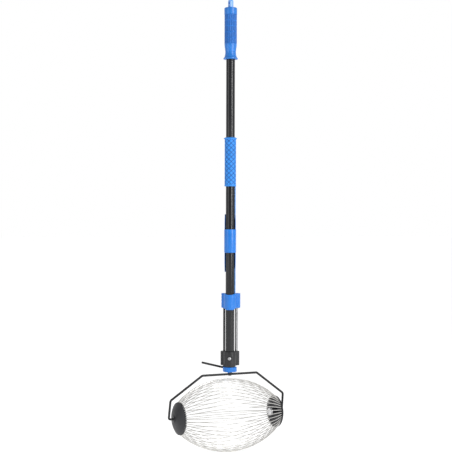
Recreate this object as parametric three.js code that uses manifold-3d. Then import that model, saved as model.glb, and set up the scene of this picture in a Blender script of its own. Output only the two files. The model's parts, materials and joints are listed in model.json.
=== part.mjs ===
// Rolling nut gatherer: a springy wire cage that turns on a bent bail at the foot of a long pole,
// with a sliding grip that drives a bent arm down between the wires to part them.
//
// Millimetres. +Z is up along the pole, +X along the cage's axle and +Y the way the cage rolls.
// The origin is on the ground below the middle of the cage.

import * as THREE from 'three';
import { mergeVertices } from 'three/addons/utils/BufferGeometryUtils.js';
import Module from 'manifold-3d';

const wasm = await Module();
wasm.setup();

// ---------------------------------------------------------------- driving dimensions

const GAP = 0.3; // between pieces that are pressed, screwed or seated together
const RUNNING_GAP = 0.35; // between a piece and what it slides or turns on
const OVERCUT = 1; // how far a cutting tool runs past the face that it cuts

// Wire cage. Distances along the axle are from the cage's middle.
const WIRE_RADIUS = 1;
const WIRE_COUNT = 48;
const WIRE_PITCH = (2 * Math.PI) / WIRE_COUNT;
const CAGE_RADIUS = 97.7; // axle to a wire's centre, at the cage's middle
const CAGE_SHIFT = 4.3; // the cage's middle is this far to the right of the pole
const CAGE_TURN = THREE.MathUtils.degToRad(0.9); // puts a gap between two wires under the arm
const WIRE_END = { x: 146, radius: 40.4 }; // where a wire has entered its end cap
const WIRE_STEPS = 10;
const WIRE_SIDES = 5;
const LOWEST_WIRE_TILT = WIRE_PITCH / 2 - CAGE_TURN;
const CAGE_HEIGHT = CAGE_RADIUS * Math.cos(LOWEST_WIRE_TILT) + WIRE_RADIUS; // the axle's height

// End caps
const CAP = { radius: 43.5, rim: 143.3, skirtEnd: 148.3, apex: 162.8, wall: 1.6, skirtWall: 1.8 };
const DOME_STATIONS = [0.32, 0.55, 0.74, 0.88]; // of the cap's radius
const NOTCH = { halfWidth: 1.7, depth: 4.3 };
const HUB = { radius: 9.3, bore: 6.3, innerEnd: 135 };
const PLATE = { radius: 38, lip: 6, rim: 143.6, centre: 149, thickness: 2 };
const BUSH = { radius: 6, flangeRadius: 8.5, flange: 1.2, bore: 3.4 };

// Bail and axle hardware. `rise` is measured from the axle, in the plane of the leaning bail.
const BAIL_LEAN = THREE.MathUtils.degToRad(9.15); // its top is in front of its feet
const BAIL_RADIUS = 3;
const BAIL_TOP = { halfWidth: 82.4, rise: 114.5 };
const BAIL_SHOULDER = { halfWidth: 170.7, rise: 51.1 };
const BAIL_FOOT_HALF_WIDTH = 172.2;
const BAIL_BEND = { top: 9, shoulder: 9, foot: 5 }; // bend radii on the wire's centre line
const BAIL_SIDES = 8;
const BAIL_ARC_STEPS = 4;
const AXLE_NUT = { acrossFlats: 21.7, thickness: 5.7, end: 1.2 };
const AXLE_WASHER = { radius: 9, thickness: 1.3 };

// The pole stands on the middle of the bail's top.
const POLE_Y = -BAIL_TOP.rise * Math.sin(BAIL_LEAN);
const BAIL_TOP_HEIGHT = CAGE_HEIGHT + BAIL_TOP.rise * Math.cos(BAIL_LEAN);

// Head: bracket, clamp and rods are turned to this angle about the pole
const HEAD_TURN = THREE.MathUtils.degToRad(-31);
const LOBE = { side: 16.65, back: 14.5 };
const NECK = { wall: 0.8, flangeBottom: 218.2, chamfer: 1.8, flangeTop: 231, plugTop: 272.4 };
const NECK_RADIUS = { bossTip: 4.8, boss: 6.2, flange: 18.9, plug: 10.2 };
const BRACKET = {
  bottom: 231.4, lobeBottom: 234.6, top: 272.6, radius: 17, leftLobe: 9.6, rightLobe: 8.1,
};
const BOLT = { height: 254.7, shank: 2.5, head: 4.5, headDepth: 3.2, nut: 8, end: 23 };
const BOLT_WASHER = { radius: 5, thickness: 1 };
const CLAMP = {
  bottom: 385.4, chamfer: 3.4, lobeBottom: 389.9, frontTop: 426, top: 429.4, radius: 16.5,
  leftLobe: 7.8, rightLobe: 10.4, socketTop: 420.4,
};

// Rods
const GUIDE_ROD = { radius: 4, bottom: 244.7, top: 428.6 };
const PUSH_ROD = { radius: 2.8, bend: 5, foot: 227.4 };
const PUSH_ROD_ARC_STEPS = 5;
const ARM = { reach: 67.8, toeIn: 2.5, rise: 17.4 };

// Pole
const POLE = { radius: 11.9, wall: 1.2, bottom: 231.4, joint: 794.4, top: 1181 };
const JOINT_INSERT = { bottom: 749.4, top: 839.4, wall: 1.5 };

// Blue furniture on the pole
const HANDLE = {
  bottom: 1061.4, rimTop: 1064.9, flareTop: 1073, waist: 1080.4, shoulder: 1102.6, top: 1181.8,
};
const HANDLE_RADIUS = { rim: 19.5, flareFoot: 17.8, flareTop: 15.2, waist: 14.4, grip: 16.7 };
const TAB = { top: 1223.4, width: 14, thickness: 10, holeRadius: 3.6, holeHeight: 1213.9 };
const END_CAP = { top: 1200.4, chamfer: 1.5, radius: 17.2, plugBottom: 1154.4 };
const MID_GRIP = { bottom: 718.4, bandTop: 722.9, rimBottom: 845.9, rimTop: 848.4, top: 850.6 };
const MID_GRIP_RADIUS = { grip: 15.4, band: 15.8, rim: 17.7, cone: 13.3 };
const COUPLER = { bottom: 487.4, taper: 25, bandBottom: 539.4, bandTop: 602.4, top: 643.4 };
const COUPLER_RADIUS = { shellBore: 13.8, tip: 14.6, shell: 15.2, band: 16.1 };
const COUPLER_FRONT = -2.7; // the shell is cut off here, and its band goes on round the pole
const SPINE = { bore: 12.4, radius: 15.1, tongueRadius: 13.5, tongue: 12, start: -5, end: 100 };
const LINK_SCREW = { radius: 1.4, headRadius: 2.6, head: 1, angle: 80, inset: 6 };

const SIDES = 24; // round the pole's furniture
const ROD_SIDES = 12;
const HARDWARE_SIDES = 16;
const CAP_SIDES = WIRE_COUNT; // so that each notch is in the middle of a flat
const GUTTER_STEP = 12; // degrees of arc for each flat of a gutter

// ---------------------------------------------------------------- finishes

const finish = (color, roughness, metalness) =>
  new THREE.MeshStandardMaterial({ color, roughness, metalness });

const FINISH = {
  bluePlastic: () => finish(0x2f7fe0, 0.42, 0),
  blueRubber: () => finish(0x2a72cf, 0.6, 0),
  blackPlastic: () => finish(0x2b2b2e, 0.5, 0),
  blackPole: () => finish(0x1e1e20, 0.3, 0.3),
  blackWire: () => finish(0x242426, 0.4, 0.5),
  brightSteel: () => finish(0xc9cbd0, 0.25, 1),
  nylon: () => finish(0xd8d6cf, 0.5, 0),
};

// ---------------------------------------------------------------- solid helpers

/** Turns a closed three.js geometry into a manifold-3d solid. */
function solidOf(geometry) {
  const bare = geometry.clone();
  bare.deleteAttribute('normal');
  bare.deleteAttribute('uv');
  const merged = mergeVertices(bare, 1e-4);
  return new wasm.Manifold(
    new wasm.Mesh({
      numProp: 3,
      vertProperties: merged.attributes.position.array,
      triVerts: new Uint32Array(merged.index.array),
    }),
  );
}

/** Turns a manifold-3d solid back into a three.js geometry. */
function geometryOf(solid) {
  const mesh = solid.getMesh();
  const geometry = new THREE.BufferGeometry();
  geometry.setAttribute('position', new THREE.BufferAttribute(mesh.vertProperties, 3));
  geometry.setIndex(new THREE.BufferAttribute(mesh.triVerts, 1));
  const flat = geometry.toNonIndexed();
  flat.computeVertexNormals();
  return flat;
}

const join = (first, ...rest) =>
  geometryOf(rest.reduce((sum, piece) => sum.add(solidOf(piece)), solidOf(first)));

const cut = (body, ...cutters) =>
  geometryOf(cutters.reduce((left, cutter) => left.subtract(solidOf(cutter)), solidOf(body)));

/** A solid of revolution about Z. The profile is a closed list of [radius, height]. */
function turned(profile, sides = SIDES) {
  const points = [...profile, profile[0]].map(([radius, height]) => new THREE.Vector2(radius, height));
  return new THREE.LatheGeometry(points, sides).rotateX(Math.PI / 2);
}

/** A round bar between two heights, off centre by (x, y). */
function bar(radius, bottom, top, { sides = SIDES, x = 0, y = 0 } = {}) {
  const length = top - bottom;
  return new THREE.CylinderGeometry(radius, radius, length, sides)
    .rotateX(Math.PI / 2)
    .translate(x, y, (bottom + top) / 2);
}

/** A plain sleeve: a tube with square ends. */
function sleeve(bore, radius, bottom, top, sides = SIDES) {
  return turned([[radius, bottom], [radius, top], [bore, top], [bore, bottom]], sides);
}

/** Part of a sleeve, between two angles in degrees round the pole. */
function gutter(bore, radius, bottom, top, startDegrees, endDegrees) {
  const start = THREE.MathUtils.degToRad(startDegrees);
  const end = THREE.MathUtils.degToRad(endDegrees);
  const outline = new THREE.Shape();
  outline.absarc(0, 0, radius, start, end, false);
  outline.absarc(0, 0, bore, end, start, true);
  outline.closePath();
  return new THREE.ExtrudeGeometry(outline, {
    depth: top - bottom,
    bevelEnabled: false,
    curveSegments: Math.ceil((endDegrees - startDegrees) / GUTTER_STEP),
  }).translate(0, 0, bottom);
}

/** A box in front of the plane at `y`, between two heights. It is used to cut a front away. */
function frontSlab(y, bottom, top, reach) {
  return new THREE.BoxGeometry(2 * reach, reach, top - bottom)
    .translate(0, y - reach / 2, (bottom + top) / 2);
}

/** A round bar along Y at a given height, from the front (low y) to the back. */
function crossBar(radius, front, back, height, sides = ROD_SIDES) {
  return new THREE.CylinderGeometry(radius, radius, back - front, sides)
    .translate(0, (front + back) / 2, height);
}

/** A hexagonal prism along Y, for a nut. */
function crossHexagon(acrossFlats, front, back, height) {
  const circumradius = acrossFlats / Math.sqrt(3);
  return crossBar(circumradius, front, back, height, 6);
}

// ---------------------------------------------------------------- bent wire

/** A curve that three.js samples exactly at a list of stations, each a point and a direction. */
class StationCurve extends THREE.Curve {
  constructor(stations) {
    super();
    this.stations = stations;
  }

  stationAt(u) {
    return this.stations[Math.round(u * (this.stations.length - 1))];
  }

  getPointAt(u, target = new THREE.Vector3()) {
    return target.copy(this.stationAt(u).point);
  }

  getTangentAt(u, target = new THREE.Vector3()) {
    return target.copy(this.stationAt(u).direction);
  }
}

/** Stations of a wire that runs straight between corners, with an arc at each inner corner. */
function bentStations(corners, bendRadii, arcSteps) {
  const heading = (from, to) => to.clone().sub(from).normalize();
  const last = corners.length - 1;
  const stations = [{ point: corners[0], direction: heading(corners[0], corners[1]) }];
  for (let i = 1; i < last; i++) {
    const bendRadius = bendRadii[i - 1];
    const incoming = heading(corners[i - 1], corners[i]);
    const outgoing = heading(corners[i], corners[i + 1]);
    const turn = incoming.angleTo(outgoing);
    const inward = outgoing.clone().addScaledVector(incoming, -Math.cos(turn)).normalize();
    const centre = corners[i]
      .clone()
      .addScaledVector(incoming, -bendRadius * Math.tan(turn / 2))
      .addScaledVector(inward, bendRadius);
    for (let step = 0; step <= arcSteps; step++) {
      const angle = (turn * step) / arcSteps;
      const towardCentre = inward.clone().multiplyScalar(Math.cos(angle))
        .addScaledVector(incoming, -Math.sin(angle));
      const direction = incoming.clone().multiplyScalar(Math.cos(angle))
        .addScaledVector(inward, Math.sin(angle));
      stations.push({ point: centre.clone().addScaledVector(towardCentre, -bendRadius), direction });
    }
  }
  stations.push({ point: corners[last], direction: heading(corners[last - 1], corners[last]) });
  return stations;
}

/** A round wire of the given radius through a list of stations. */
function wireThrough(stations, radius, sides) {
  const section = new THREE.Shape();
  for (let i = 0; i < sides; i++) {
    const angle = (2 * Math.PI * i) / sides;
    const corner = [radius * Math.cos(angle), radius * Math.sin(angle)];
    if (i === 0) section.moveTo(...corner);
    else section.lineTo(...corner);
  }
  section.closePath();
  return new THREE.ExtrudeGeometry(section, {
    steps: stations.length - 1,
    bevelEnabled: false,
    extrudePath: new StationCurve(stations),
  });
}

// ---------------------------------------------------------------- scene graph helpers

const tool = new THREE.Group();
const upright = new THREE.Group(); // everything that stands on the bail's top
upright.position.y = POLE_Y;
tool.add(upright);
const head = new THREE.Group(); // everything that faces the front of the tool
head.rotation.z = HEAD_TURN;
upright.add(head);
const cage = new THREE.Group(); // everything that turns on the axle, and the axle's nuts
cage.position.set(CAGE_SHIFT, 0, CAGE_HEIGHT);
tool.add(cage);

function addPiece(parent, name, geometry, material) {
  const mesh = new THREE.Mesh(geometry, material);
  mesh.name = name;
  parent.add(mesh);
  return mesh;
}

// ---------------------------------------------------------------- wire cage

/** Radius of the circle that a wire's centre line follows from cap to cap. */
function wireArcRadius() {
  const sag = CAGE_RADIUS - WIRE_END.radius;
  return (WIRE_END.x ** 2 + sag ** 2) / (2 * sag);
}

/** One hairpin: two neighbouring wires, joined by a tight bend that is hidden in the right cap. */
function hairpin() {
  const arcRadius = wireArcRadius();
  const halfSweep = Math.asin(WIRE_END.x / arcRadius);

  // A station on the wire that lies in the plane tilted by `side` half pitches from straight up.
  const stationOn = (side, sweep, along) => {
    const radius = CAGE_RADIUS - arcRadius * (1 - Math.cos(sweep));
    const fall = -Math.sin(sweep);
    const tilt = (side * WIRE_PITCH) / 2;
    return {
      point: new THREE.Vector3(
        arcRadius * Math.sin(sweep), radius * Math.sin(tilt), radius * Math.cos(tilt)),
      direction: new THREE.Vector3(
        Math.cos(sweep), fall * Math.sin(tilt), fall * Math.cos(tilt)).multiplyScalar(along),
    };
  };

  const stations = [];
  for (let step = 0; step <= WIRE_STEPS; step++) {
    stations.push(stationOn(-1, halfSweep * ((2 * step) / WIRE_STEPS - 1), 1));
  }
  const bendFrom = stationOn(-1, halfSweep, 1).point;
  const bendTo = stationOn(1, halfSweep, 1).point;
  const onward = new THREE.Vector3(Math.cos(halfSweep), 0, -Math.sin(halfSweep));
  const middle = bendFrom.clone().add(bendTo).multiplyScalar(0.5);
  const bendRadius = bendFrom.distanceTo(bendTo) / 2;
  const across = bendTo.clone().sub(bendFrom).normalize();
  for (const angle of [0.25, 0.5, 0.75].map((part) => part * Math.PI)) {
    stations.push({
      point: middle.clone()
        .addScaledVector(across, -bendRadius * Math.cos(angle))
        .addScaledVector(onward, bendRadius * Math.sin(angle)),
      direction: across.clone().multiplyScalar(Math.sin(angle))
        .addScaledVector(onward, Math.cos(angle)),
    });
  }
  for (let step = WIRE_STEPS; step >= 0; step--) {
    stations.push(stationOn(1, halfSweep * ((2 * step) / WIRE_STEPS - 1), -1));
  }
  return wireThrough(stations, WIRE_RADIUS, WIRE_SIDES);
}

function addWires() {
  const count = WIRE_COUNT / 2;
  for (let i = 0; i < count; i++) {
    const name = 'cage_wire_pair_' + String(i + 1).padStart(2, '0');
    const wire = addPiece(cage, name, hairpin(), FINISH.brightSteel());
    wire.rotation.x = -(2 * i * WIRE_PITCH + CAGE_TURN);
  }
}

// ---------------------------------------------------------------- cage ends, axle along local Z

/** How far along the axle the dome's outside is, at a distance from the axle. */
const domeHeight = (radius) => CAP.apex - (CAP.apex - CAP.skirtEnd) * (radius / CAP.radius) ** 2;

/** Cuts in the cap's rim that the wires pass through. */
function rimNotches() {
  const skirtBore = CAP.radius - CAP.skirtWall;
  const inner = skirtBore - OVERCUT;
  const outer = CAP.radius + OVERCUT;
  return Array.from({ length: WIRE_COUNT }, (_, i) =>
    new THREE.BoxGeometry(outer - inner, 2 * NOTCH.halfWidth, NOTCH.depth + OVERCUT)
      .translate((inner + outer) / 2, 0, CAP.rim + (NOTCH.depth - OVERCUT) / 2)
      .rotateZ((i + 0.5) * WIRE_PITCH));
}

function endCap() {
  const skirtBore = CAP.radius - CAP.skirtWall;
  const outside = DOME_STATIONS.map((part) => [part * CAP.radius, domeHeight(part * CAP.radius)]);
  const inside = outside.map(([radius, height]) => [radius, height - CAP.wall]);
  const shell = turned([
    [HUB.bore, HUB.innerEnd],
    [HUB.radius, HUB.innerEnd],
    [HUB.radius, domeHeight(HUB.radius) - CAP.wall],
    ...inside,
    [skirtBore, domeHeight(skirtBore) - CAP.wall],
    [skirtBore, CAP.rim],
    [CAP.radius, CAP.rim],
    [CAP.radius, CAP.skirtEnd],
    ...outside.reverse(),
    [HUB.bore, domeHeight(HUB.bore)],
  ], CAP_SIDES);
  return cut(shell, ...rimNotches());
}

/** The dish inside the cap, whose rim is behind the wires' ends. */
function wirePlate() {
  const bore = HUB.radius + GAP;
  const lipStart = PLATE.radius - PLATE.lip;
  return turned([
    [bore, PLATE.centre],
    [lipStart, PLATE.rim],
    [PLATE.radius, PLATE.rim],
    [PLATE.radius, PLATE.rim + PLATE.thickness],
    [lipStart, PLATE.rim + PLATE.thickness],
    [bore, PLATE.centre + PLATE.thickness],
  ], SIDES);
}

function hubBush() {
  const flangeSeat = domeHeight(HUB.bore) + GAP;
  return turned([
    [BUSH.bore, HUB.innerEnd],
    [BUSH.radius, HUB.innerEnd],
    [BUSH.radius, flangeSeat],
    [BUSH.flangeRadius, flangeSeat],
    [BUSH.flangeRadius, flangeSeat + BUSH.flange],
    [BUSH.bore, flangeSeat + BUSH.flange],
  ], HARDWARE_SIDES);
}

const NUT_TOP = HUB.innerEnd - RUNNING_GAP - AXLE_WASHER.thickness - GAP;
const NUT_BOTTOM = NUT_TOP - AXLE_NUT.thickness;
const AXLE_END = NUT_BOTTOM + AXLE_NUT.end + GAP;

function axleWasher() {
  const top = HUB.innerEnd - RUNNING_GAP;
  return sleeve(BAIL_RADIUS + GAP, AXLE_WASHER.radius, top - AXLE_WASHER.thickness, top,
    HARDWARE_SIDES);
}

/** A closed nut: its bore stops short of the face towards the cage's middle. */
function axleNut() {
  const hexagon = bar(AXLE_NUT.acrossFlats / Math.sqrt(3), NUT_BOTTOM, NUT_TOP, { sides: 6 });
  const bore = bar(BAIL_RADIUS + GAP, NUT_BOTTOM + AXLE_NUT.end, NUT_TOP + OVERCUT,
    { sides: ROD_SIDES });
  return cut(hexagon, bore);
}

function addCageEnd(side, sign) {
  const end = new THREE.Group();
  end.rotation.y = (sign * Math.PI) / 2;
  cage.add(end);
  const cap = addPiece(end, 'end_cap_' + side, endCap(), FINISH.blackPlastic());
  cap.rotation.z = -sign * CAGE_TURN;
  addPiece(end, 'wire_plate_' + side, wirePlate(), FINISH.blackPlastic());
  addPiece(end, 'hub_bush_' + side, hubBush(), FINISH.nylon());
  addPiece(end, 'axle_washer_' + side, axleWasher(), FINISH.brightSteel());
  addPiece(end, 'axle_nut_' + side, axleNut(), FINISH.brightSteel());
}

// ---------------------------------------------------------------- bail and neck

/** One wire: in through the left cap, up over the cage, and in through the right cap. */
function bail() {
  const corner = (x, rise) => new THREE.Vector3(
    x, -rise * Math.sin(BAIL_LEAN), CAGE_HEIGHT + rise * Math.cos(BAIL_LEAN));
  const corners = [
    corner(CAGE_SHIFT - AXLE_END, 0),
    corner(-BAIL_FOOT_HALF_WIDTH, 0),
    corner(-BAIL_SHOULDER.halfWidth, BAIL_SHOULDER.rise),
    corner(-BAIL_TOP.halfWidth, BAIL_TOP.rise),
    corner(BAIL_TOP.halfWidth, BAIL_TOP.rise),
    corner(BAIL_SHOULDER.halfWidth, BAIL_SHOULDER.rise),
    corner(BAIL_FOOT_HALF_WIDTH, 0),
    corner(CAGE_SHIFT + AXLE_END, 0),
  ];
  const rising = [BAIL_BEND.foot, BAIL_BEND.shoulder, BAIL_BEND.top];
  const bends = [...rising, ...rising.toReversed()];
  return wireThrough(bentStations(corners, bends, BAIL_ARC_STEPS), BAIL_RADIUS, BAIL_SIDES);
}

/** The boss is moulded round the bail's top, and the plug stands up inside the pole. */
function neck() {
  const bottom = BAIL_TOP_HEIGHT - BAIL_RADIUS - GAP - NECK.wall;
  const body = turned([
    [0, bottom],
    [NECK_RADIUS.bossTip, bottom],
    [NECK_RADIUS.boss, NECK.flangeBottom],
    [NECK_RADIUS.flange - NECK.chamfer, NECK.flangeBottom],
    [NECK_RADIUS.flange, NECK.flangeBottom + NECK.chamfer],
    [NECK_RADIUS.flange, NECK.flangeTop],
    [NECK_RADIUS.plug, NECK.flangeTop],
    [NECK_RADIUS.plug, NECK.plugTop],
    [0, NECK.plugTop],
  ]);
  const holeRadius = BAIL_RADIUS + GAP;
  const bailHole = new THREE.CylinderGeometry(
    holeRadius, holeRadius, 2 * (NECK_RADIUS.boss + OVERCUT), ROD_SIDES)
    .rotateZ(Math.PI / 2)
    .translate(0, 0, BAIL_TOP_HEIGHT);
  const boltHole = boltClearance().rotateZ(HEAD_TURN);
  return cut(body, bailHole, boltHole);
}

// ---------------------------------------------------------------- head, local Y points to the back

const boltClearance = () =>
  crossBar(BOLT.shank + GAP, -BRACKET.radius - OVERCUT, BRACKET.radius + OVERCUT, BOLT.height);

const lobeAt = (side, radius, bottom, top, sides = SIDES) =>
  bar(radius, bottom, top, { sides, x: side * LOBE.side, y: LOBE.back });

function bracket() {
  const { bottom, lobeBottom, top, radius, leftLobe, rightLobe } = BRACKET;
  const body = join(
    bar(radius, bottom, top),
    lobeAt(-1, leftLobe, lobeBottom, top),
    lobeAt(1, rightLobe, lobeBottom, top),
  );
  return cut(
    body,
    bar(POLE.radius + GAP, bottom - OVERCUT, top + OVERCUT),
    lobeAt(-1, PUSH_ROD.radius + RUNNING_GAP, lobeBottom - OVERCUT, top + OVERCUT, ROD_SIDES),
    lobeAt(1, GUIDE_ROD.radius + GAP, GUIDE_ROD.bottom - GAP, top + OVERCUT, ROD_SIDES),
    boltClearance(),
  );
}

function headBolt() {
  const headFront = -BRACKET.radius - GAP - BOLT.headDepth;
  return join(
    crossBar(BOLT.shank, headFront + BOLT.headDepth / 2, BOLT.end, BOLT.height),
    crossBar(BOLT.head, headFront, headFront + BOLT.headDepth, BOLT.height, HARDWARE_SIDES),
  );
}

function boltWasher() {
  const front = BRACKET.radius + GAP;
  const back = front + BOLT_WASHER.thickness;
  return cut(
    crossBar(BOLT_WASHER.radius, front, back, BOLT.height, HARDWARE_SIDES),
    crossBar(BOLT.shank + GAP, front - OVERCUT, back + OVERCUT, BOLT.height),
  );
}

function boltNut() {
  const front = BRACKET.radius + GAP + BOLT_WASHER.thickness + GAP;
  return cut(
    crossHexagon(BOLT.nut, front, BOLT.end - OVERCUT, BOLT.height),
    crossBar(BOLT.shank + GAP, front - OVERCUT, BOLT.end, BOLT.height),
  );
}

/** The carriage at the foot of the sliding gear: it runs on the pole and on the guide rod. */
function clamp() {
  const { bottom, chamfer, lobeBottom, frontTop, top, radius, leftLobe, rightLobe } = CLAMP;
  const runningBore = POLE.radius + RUNNING_GAP;
  const middle = turned([
    [0, bottom],
    [runningBore + OVERCUT, bottom],
    [radius, bottom + chamfer],
    [radius, top],
    [0, top],
  ]);
  const body = join(
    middle,
    lobeAt(-1, leftLobe, lobeBottom, top),
    lobeAt(1, rightLobe, lobeBottom, top),
  );
  return cut(
    body,
    bar(runningBore, bottom - OVERCUT, top + OVERCUT),
    bar(COUPLER_RADIUS.shellBore, top - SPINE.tongue - GAP, top + OVERCUT),
    frontSlab(COUPLER_FRONT, frontTop, top + OVERCUT, 2 * radius),
    lobeAt(1, GUIDE_ROD.radius + RUNNING_GAP, lobeBottom - OVERCUT, top + OVERCUT, ROD_SIDES),
    lobeAt(-1, PUSH_ROD.radius + GAP, lobeBottom - OVERCUT, CLAMP.socketTop, ROD_SIDES),
    linkScrewHole(top - LINK_SCREW.inset),
  );
}

// ---------------------------------------------------------------- sliding gear on the pole

/** A short bar that stands radially in the spine, `angle` degrees round the pole. */
function radialBar(radius, inner, outer, height) {
  return new THREE.CylinderGeometry(radius, radius, outer - inner, ROD_SIDES)
    .rotateZ(-Math.PI / 2)
    .translate((inner + outer) / 2, 0, 0)
    .rotateZ(THREE.MathUtils.degToRad(LINK_SCREW.angle))
    .translate(0, 0, height);
}

const linkScrewHole = (height) =>
  radialBar(LINK_SCREW.radius + GAP, SPINE.bore - OVERCUT, CLAMP.radius + OVERCUT, height);

/** `seat` is the radius of the face that the screw's head rests on. */
function linkScrew(height, seat) {
  const headFoot = seat + GAP;
  return join(
    radialBar(LINK_SCREW.radius, SPINE.bore, headFoot + LINK_SCREW.head / 2, height),
    radialBar(LINK_SCREW.headRadius, headFoot, headFoot + LINK_SCREW.head, height),
  );
}

/** A gutter-shaped bar with a thinner tongue at each end, which its neighbours cover. */
function spineBar(bottom, top) {
  return cut(
    join(
      gutter(SPINE.bore, SPINE.radius, bottom + GAP, top - GAP, SPINE.start, SPINE.end),
      gutter(SPINE.bore, SPINE.tongueRadius, bottom - SPINE.tongue, top + SPINE.tongue,
        SPINE.start, SPINE.end),
    ),
    linkScrewHole(bottom - LINK_SCREW.inset),
    linkScrewHole(top + LINK_SCREW.inset),
  );
}

/** Radius of the coupler's outside, at a distance from its nearer end. */
const couplerRadius = (inset) => THREE.MathUtils.lerp(
  COUPLER_RADIUS.tip, COUPLER_RADIUS.shell, Math.min(1, inset / COUPLER.taper));

/** A half shell behind the pole, closed by a band that rings the pole at its middle. */
function coupler() {
  const { bottom, taper, bandBottom, bandTop, top } = COUPLER;
  const { shellBore, tip, shell, band } = COUPLER_RADIUS;
  const spindle = turned([
    [shellBore, bottom],
    [tip, bottom],
    [shell, bottom + taper],
    [shell, top - taper],
    [tip, top],
    [shellBore, top],
  ]);
  const halfShell = cut(
    spindle, frontSlab(COUPLER_FRONT, bottom - OVERCUT, top + OVERCUT, 2 * shell));
  return cut(
    join(halfShell, sleeve(POLE.radius + RUNNING_GAP, band, bandBottom, bandTop)),
    linkScrewHole(bottom + LINK_SCREW.inset),
    linkScrewHole(top - LINK_SCREW.inset),
  );
}

function midGrip() {
  const runningBore = POLE.radius + RUNNING_GAP;
  const socketTop = MID_GRIP.bottom + SPINE.tongue + GAP;
  const tube = turned([
    [COUPLER_RADIUS.shellBore, MID_GRIP.bottom],
    [MID_GRIP_RADIUS.band, MID_GRIP.bottom],
    [MID_GRIP_RADIUS.band, MID_GRIP.bandTop],
    [MID_GRIP_RADIUS.grip, MID_GRIP.bandTop],
    [MID_GRIP_RADIUS.grip, MID_GRIP.rimBottom],
    [MID_GRIP_RADIUS.rim, MID_GRIP.rimBottom],
    [MID_GRIP_RADIUS.rim, MID_GRIP.rimTop],
    [MID_GRIP_RADIUS.cone, MID_GRIP.top],
    [runningBore, MID_GRIP.top],
    [runningBore, socketTop],
    [COUPLER_RADIUS.shellBore, socketTop],
  ]);
  return cut(tube, linkScrewHole(MID_GRIP.bottom + LINK_SCREW.inset));
}

/** The push rod drops from the clamp and turns into the arm, which lies over the cage. */
function pushRod() {
  const axis = new THREE.Vector2(-LOBE.side, LOBE.back).rotateAround(new THREE.Vector2(), HEAD_TURN);
  const corners = [
    new THREE.Vector3(axis.x, axis.y, CLAMP.socketTop - GAP),
    new THREE.Vector3(axis.x, axis.y, PUSH_ROD.foot),
    new THREE.Vector3(axis.x - ARM.reach, axis.y - ARM.toeIn, PUSH_ROD.foot + ARM.rise),
  ];
  const stations = bentStations(corners, [PUSH_ROD.bend], PUSH_ROD_ARC_STEPS);
  return wireThrough(stations, PUSH_ROD.radius, ROD_SIDES);
}

// ---------------------------------------------------------------- pole and handle

const poleTube = (bottom, top) => sleeve(POLE.radius - POLE.wall, POLE.radius, bottom, top);

function lowerTube() {
  return cut(poleTube(POLE.bottom, POLE.joint - GAP / 2), boltClearance());
}

function jointInsert() {
  const radius = POLE.radius - POLE.wall - GAP;
  return sleeve(radius - JOINT_INSERT.wall, radius, JOINT_INSERT.bottom, JOINT_INSERT.top);
}

function topHandle() {
  const bore = POLE.radius + GAP;
  return turned([
    [bore, HANDLE.bottom],
    [HANDLE_RADIUS.rim, HANDLE.bottom],
    [HANDLE_RADIUS.rim, HANDLE.rimTop],
    [HANDLE_RADIUS.flareFoot, HANDLE.rimTop],
    [HANDLE_RADIUS.flareTop, HANDLE.flareTop],
    [HANDLE_RADIUS.waist, HANDLE.waist],
    [HANDLE_RADIUS.grip, HANDLE.shoulder],
    [HANDLE_RADIUS.grip, HANDLE.top],
    [bore, HANDLE.top],
  ]);
}

/** The flat tab that the tool hangs from. Its faces are towards the cage's ends. */
function hangingTab() {
  const radius = TAB.width / 2;
  const outline = new THREE.Shape();
  outline.moveTo(-radius, END_CAP.top - OVERCUT);
  outline.lineTo(radius, END_CAP.top - OVERCUT);
  outline.lineTo(radius, TAB.top - radius);
  outline.absarc(0, TAB.top - radius, radius, 0, Math.PI, false);
  outline.closePath();
  const plate = new THREE.ExtrudeGeometry(outline, {
    depth: TAB.thickness,
    bevelEnabled: false,
    curveSegments: ROD_SIDES,
  }).rotateX(Math.PI / 2).translate(0, TAB.thickness / 2, 0);
  const hole = crossBar(
    TAB.holeRadius, -TAB.thickness, TAB.thickness, TAB.holeHeight, HARDWARE_SIDES);
  return cut(plate, hole).rotateZ(Math.PI / 2);
}

/** The end cap plugs the tube's top and carries the tab. */
function handleEndCap() {
  const plugRadius = POLE.radius - POLE.wall - GAP;
  const cap = turned([
    [0, END_CAP.plugBottom],
    [plugRadius, END_CAP.plugBottom],
    [plugRadius, HANDLE.top + GAP],
    [END_CAP.radius, HANDLE.top + GAP],
    [END_CAP.radius, END_CAP.top - END_CAP.chamfer],
    [END_CAP.radius - END_CAP.chamfer, END_CAP.top],
    [0, END_CAP.top],
  ]);
  return join(cap, hangingTab());
}

// ---------------------------------------------------------------- assembly

addWires();
addCageEnd('left', -1);
addCageEnd('right', 1);
addPiece(tool, 'bail', bail(), FINISH.blackWire());
addPiece(upright, 'neck', neck(), FINISH.bluePlastic());

addPiece(head, 'bracket', bracket(), FINISH.blackPlastic());
addPiece(head, 'head_bolt', headBolt(), FINISH.brightSteel());
addPiece(head, 'head_bolt_washer', boltWasher(), FINISH.brightSteel());
addPiece(head, 'head_bolt_nut', boltNut(), FINISH.brightSteel());
addPiece(head, 'guide_rod',
  lobeAt(1, GUIDE_ROD.radius, GUIDE_ROD.bottom, GUIDE_ROD.top, HARDWARE_SIDES),
  FINISH.brightSteel());
addPiece(upright, 'push_rod', pushRod(), FINISH.blackWire());

addPiece(head, 'clamp', clamp(), FINISH.bluePlastic());
addPiece(head, 'lower_spine_bar', spineBar(CLAMP.top, COUPLER.bottom), FINISH.bluePlastic());
addPiece(head, 'coupler', coupler(), FINISH.bluePlastic());
addPiece(head, 'upper_spine_bar', spineBar(COUPLER.top, MID_GRIP.bottom), FINISH.bluePlastic());
addPiece(head, 'mid_grip', midGrip(), FINISH.blueRubber());

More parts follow.
